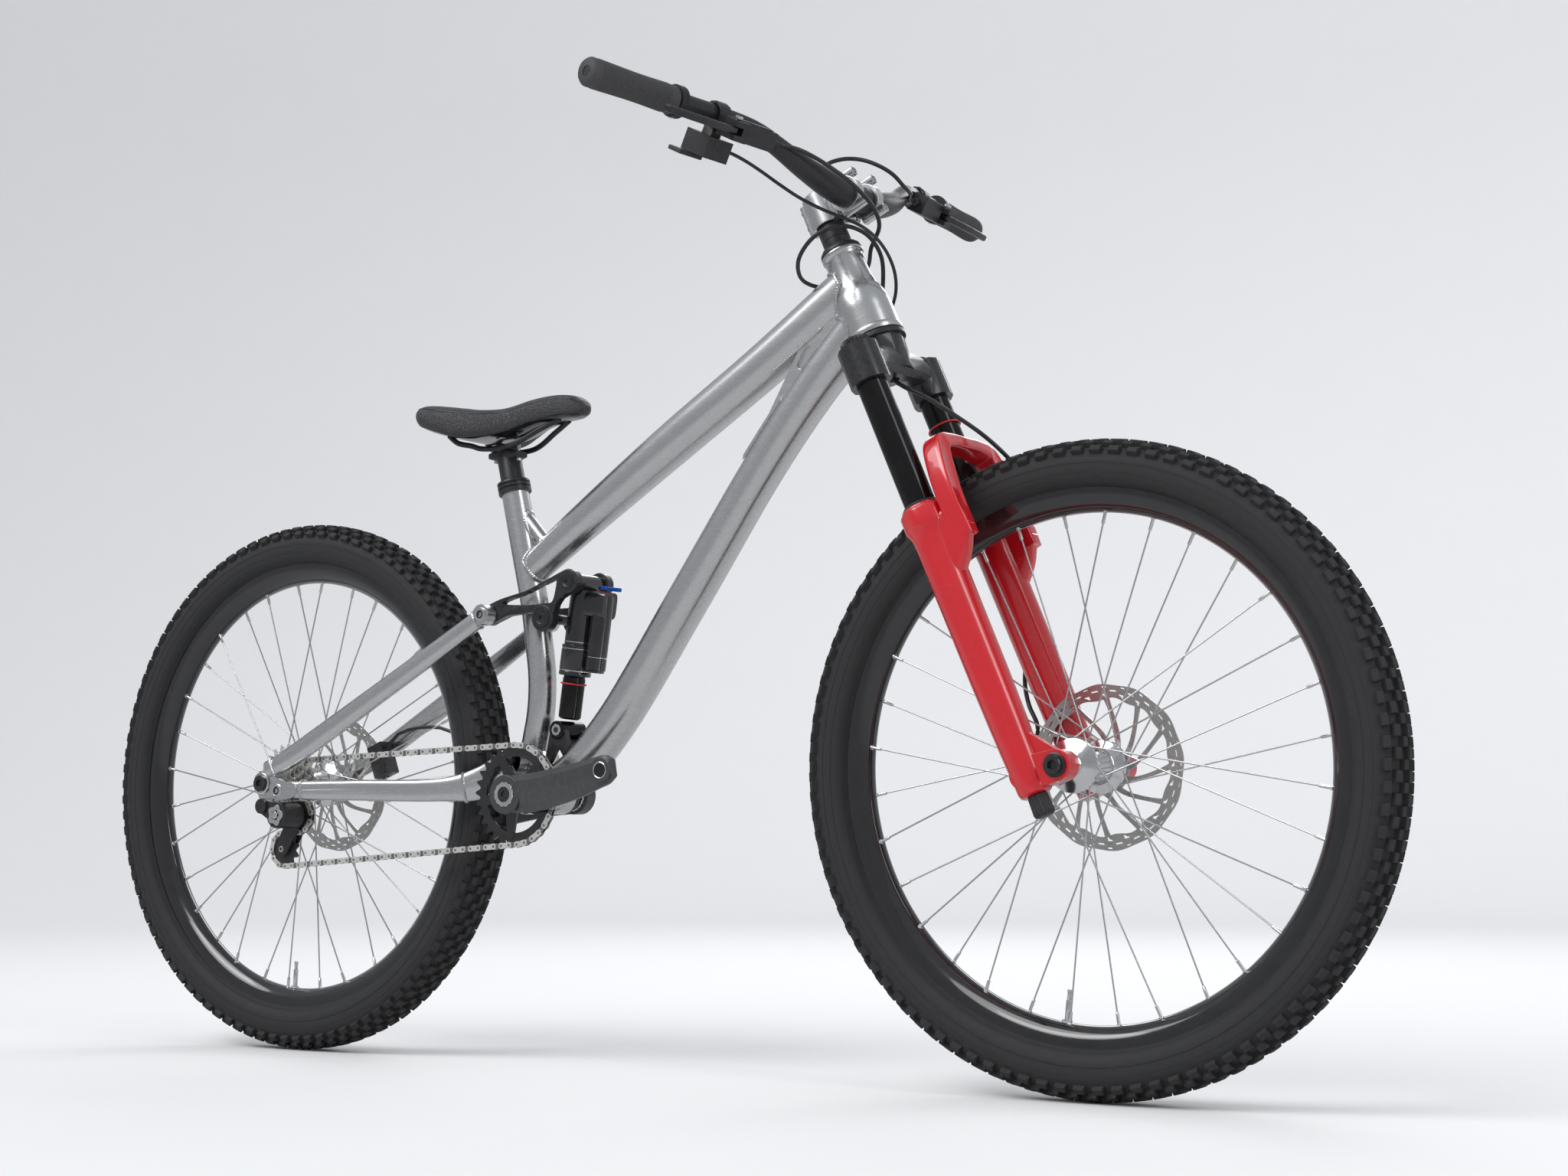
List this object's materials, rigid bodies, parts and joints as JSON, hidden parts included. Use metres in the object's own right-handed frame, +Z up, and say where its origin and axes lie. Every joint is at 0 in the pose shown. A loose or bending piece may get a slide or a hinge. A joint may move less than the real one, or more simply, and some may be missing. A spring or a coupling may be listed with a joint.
{
  "type": "dirt jump bicycle",
  "caption": "Full-suspension dirt jump bicycle with an air fork, a rocker-driven air shock, disc brakes, a single chainring and a rear derailleur.",
  "frame": {"origin": "on the ground, on the centre plane, midway between the tyres' front and rear edges", "axes": "+X forward, +Y to the rider's left, +Z up"},
  "size_m": [1.8734, 0.8094, 1.0874],
  "materials": {
    "bare_frame": "brushed bare metal with stacked weld beads",
    "silver_part": "satin silver",
    "red_paint": "gloss paint",
    "black_paint": "satin black",
    "black_gloss": "gloss black",
    "stanchion_black": "polished black anodised",
    "dark_alloy": "dark grey anodised",
    "polished_metal": "polished",
    "bare_steel": "ground steel",
    "tyre_rubber": "matte rubber with side knobs",
    "grip_rubber": "ribbed rubber",
    "hose_black": "smooth sheath",
    "black_plastic": "moulded plastic",
    "saddle_skin": "pebbled cover",
    "shell_plastic": "gloss shell",
    "blue_lever": "blue anodised"
  },
  "bodies": {
    "main_frame": {"head_tube": "bare_frame", "top_tube": "bare_frame", "down_tube": "bare_frame", "seat_tube": "bare_frame", "bottom_bracket": "bare_frame", "head_gusset": "bare_frame", "seat_collar": "black_paint", "shock_yoke": "black_paint", "chain": "bare_steel", "brake_hose_rear": "hose_black", "shift_cable": "hose_black"},
    "steering": {"fork_crown": "black_paint", "stanchion_right": "stanchion_black", "stanchion_left": "stanchion_black", "headset_spacers": "black_paint", "stem": "silver_part", "bar_clamp_right": "silver_part", "bar_clamp_left": "silver_part", "handlebar": "black_paint", "grip_right": "grip_rubber", "grip_left": "grip_rubber", "lever_body_right": "black_paint", "lever_body_left": "black_paint", "brake_hose_front": "hose_black"},
    "fork_dial": {"fork_dial": "black_plastic"},
    "fork_lowers": {"fork_lowers": "red_paint", "front_axle": "black_paint", "front_caliper": "black_paint"},
    "rebound_knob": {"rebound_knob": "black_plastic"},
    "front_wheel": {"front_tyre": "tyre_rubber", "front_rim": "black_gloss", "front_hub": "polished_metal", "front_rotor": "bare_steel"},
    "brake_lever_right": {"brake_lever_right": "black_paint"},
    "brake_lever_left": {"brake_lever_left": "black_paint"},
    "shifter_paddle": {"shifter_paddle": "black_plastic"},
    "chainstay": {"chainstay": "bare_frame"},
    "seatstay": {"seatstay_right": "bare_frame", "seatstay_left": "bare_frame", "rear_axle": "black_paint", "rear_caliper": "black_paint", "derailleur_body": "black_paint"},
    "rear_wheel": {"rear_tyre": "tyre_rubber", "rear_rim": "black_gloss", "rear_hub": "polished_metal", "rear_rotor": "bare_steel"},
    "cassette": {"cassette": "bare_steel"},
    "derailleur_cage": {"derailleur_cage": "black_paint"},
    "guide_pulley": {"guide_pulley": "black_plastic"},
    "tension_pulley": {"tension_pulley": "black_plastic"},
    "rocker": {"rocker": "black_paint"},
    "shock_shaft": {"shock_shaft": "black_gloss"},
    "shock_can": {"shock_can": "black_gloss"},
    "shock_lever": {"shock_lever": "blue_lever"},
    "crankset": {"crank_right": "dark_alloy", "crank_left": "dark_alloy", "chainring": "black_paint"},
    "seatpost": {"seatpost": "black_paint"},
    "saddle": {"saddle_cover": "saddle_skin", "saddle_base": "shell_plastic"}
  },
  "joints": [
    {"name": "steering", "type": "hinge", "parent": "main_frame", "child": "steering", "pos_m": [0.30178, 0, 0.8965], "axis": [-0.3987, 0, 0.9171], "range_deg": [-45, 45], "deforming": ["brake_hose_rear", "shift_cable"]},
    {"name": "fork_travel", "type": "slide", "parent": "steering", "child": "fork_lowers", "axis": [-0.3987, 0, 0.9171], "range_m": [0, 0.1], "stiffness_N_per_m": 4000, "deforming": ["brake_hose_front"]},
    {"name": "front_wheel_spin", "type": "hinge", "parent": "fork_lowers", "child": "front_wheel", "pos_m": [0.58673, 0, 0.35], "axis": [0, 1, 0], "continuous": true},
    {"name": "fork_dial_turn", "type": "hinge", "parent": "steering", "child": "fork_dial", "pos_m": [0.34077, -0.067, 0.82186], "axis": [-0.3987, 0, 0.9171], "range_deg": [0, 90]},
    {"name": "rebound_knob_turn", "type": "hinge", "parent": "fork_lowers", "child": "rebound_knob", "pos_m": [0.56009, -0.067, 0.31747], "axis": [-0.3987, 0, 0.9171], "range_deg": [-180, 180]},
    {"name": "brake_lever_right_pull", "type": "hinge", "parent": "steering", "child": "brake_lever_right", "pos_m": [0.28484, -0.22133, 1.04225], "axis": [-0.4689, 0.0497, -0.8819], "range_deg": [0, 14], "stiffness_Nm_per_rad": 1.5},
    {"name": "brake_lever_left_pull", "type": "hinge", "parent": "steering", "child": "brake_lever_left", "pos_m": [0.28484, 0.22133, 1.04225], "axis": [0.4689, 0.0497, 0.8819], "range_deg": [0, 14], "stiffness_Nm_per_rad": 1.5},
    {"name": "shifter_push", "type": "hinge", "parent": "steering", "child": "shifter_paddle", "pos_m": [0.22421, -0.21021, 1.02658], "axis": [0.4689, -0.0497, 0.8819], "range_deg": [0, 15], "stiffness_Nm_per_rad": 0.8},
    {"name": "chainstay_pivot", "type": "hinge", "parent": "main_frame", "child": "chainstay", "pos_m": [-0.19273, 0, 0.373], "axis": [0, 1, 0], "range_deg": [0, 15], "stiffness_Nm_per_rad": 900, "deforming": ["chain"]},
    {"name": "horst_pivot", "type": "hinge", "parent": "chainstay", "child": "seatstay", "pos_m": [-0.55073, 0, 0.34], "axis": [0, 1, 0], "range_deg": [-8.4, 0]},
    {"name": "rocker_pivot", "type": "hinge", "parent": "main_frame", "child": "rocker", "pos_m": [-0.14372, 0, 0.547], "axis": [0, 1, 0], "range_deg": [0, 47.5]},
    {"name": "shock_swing", "type": "hinge", "parent": "main_frame", "child": "shock_shaft", "pos_m": [-0.13173, 0, 0.409], "axis": [0, 1, 0], "range_deg": [0, 10.7]},
    {"name": "shock_stroke", "type": "slide", "parent": "shock_shaft", "child": "shock_can", "axis": [0.1529, 0, 0.9882], "range_m": [-0.0366, 0]},
    {"name": "shock_lever_turn", "type": "hinge", "parent": "shock_can", "child": "shock_lever", "pos_m": [-0.07357, 0, 0.58215], "axis": [0.1529, 0, 0.9882], "range_deg": [0, 90]},
    {"name": "rear_wheel_spin", "type": "hinge", "parent": "seatstay", "child": "rear_wheel", "pos_m": [-0.58673, 0, 0.35], "axis": [0, 1, 0], "continuous": true},
    {"name": "cassette_spin", "type": "hinge", "parent": "seatstay", "child": "cassette", "pos_m": [-0.58673, 0, 0.35], "axis": [0, 1, 0], "continuous": true},
    {"name": "cage_swing", "type": "hinge", "parent": "seatstay", "child": "derailleur_cage", "pos_m": [-0.54473, 0, 0.308], "axis": [0, 1, 0], "range_deg": [-30, 10], "stiffness_Nm_per_rad": 0.6, "deforming": ["chain"]},
    {"name": "guide_pulley_spin", "type": "hinge", "parent": "derailleur_cage", "child": "guide_pulley", "pos_m": [-0.54473, 0, 0.308], "axis": [0, 1, 0], "continuous": true},
    {"name": "tension_pulley_spin", "type": "hinge", "parent": "derailleur_cage", "child": "tension_pulley", "pos_m": [-0.57073, 0, 0.264], "axis": [0, 1, 0], "continuous": true},
    {"name": "crank_spin", "type": "hinge", "parent": "main_frame", "child": "crankset", "pos_m": [-0.17072, 0, 0.33], "axis": [0, 1, 0], "continuous": true, "deforming": ["chain"]},
    {"name": "seatpost_height", "type": "slide", "parent": "main_frame", "child": "seatpost", "axis": [-0.225, 0, 0.9744], "range_m": [-0.012, 0.035]},
    {"name": "saddle_tilt", "type": "hinge", "parent": "seatpost", "child": "saddle", "pos_m": [-0.23305, 0, 0.77129], "axis": [0, 1, 0], "range_deg": [-8, 8]}
  ],
  "couplings": [
    {"joint": "horst_pivot", "follows": "chainstay_pivot", "ratio": -0.55},
    {"joint": "rocker_pivot", "follows": "chainstay_pivot", "ratio": 3.15},
    {"joint": "shock_swing", "follows": "chainstay_pivot", "ratio": 0.7},
    {"joint": "shock_stroke", "follows": "chainstay_pivot", "m_per_rad": -0.1381},
    {"joint": "cassette_spin", "follows": "crank_spin", "ratio": 2.1429},
    {"joint": "guide_pulley_spin", "follows": "crank_spin", "ratio": -2.7273},
    {"joint": "tension_pulley_spin", "follows": "crank_spin", "ratio": 2.7273}
  ]
}
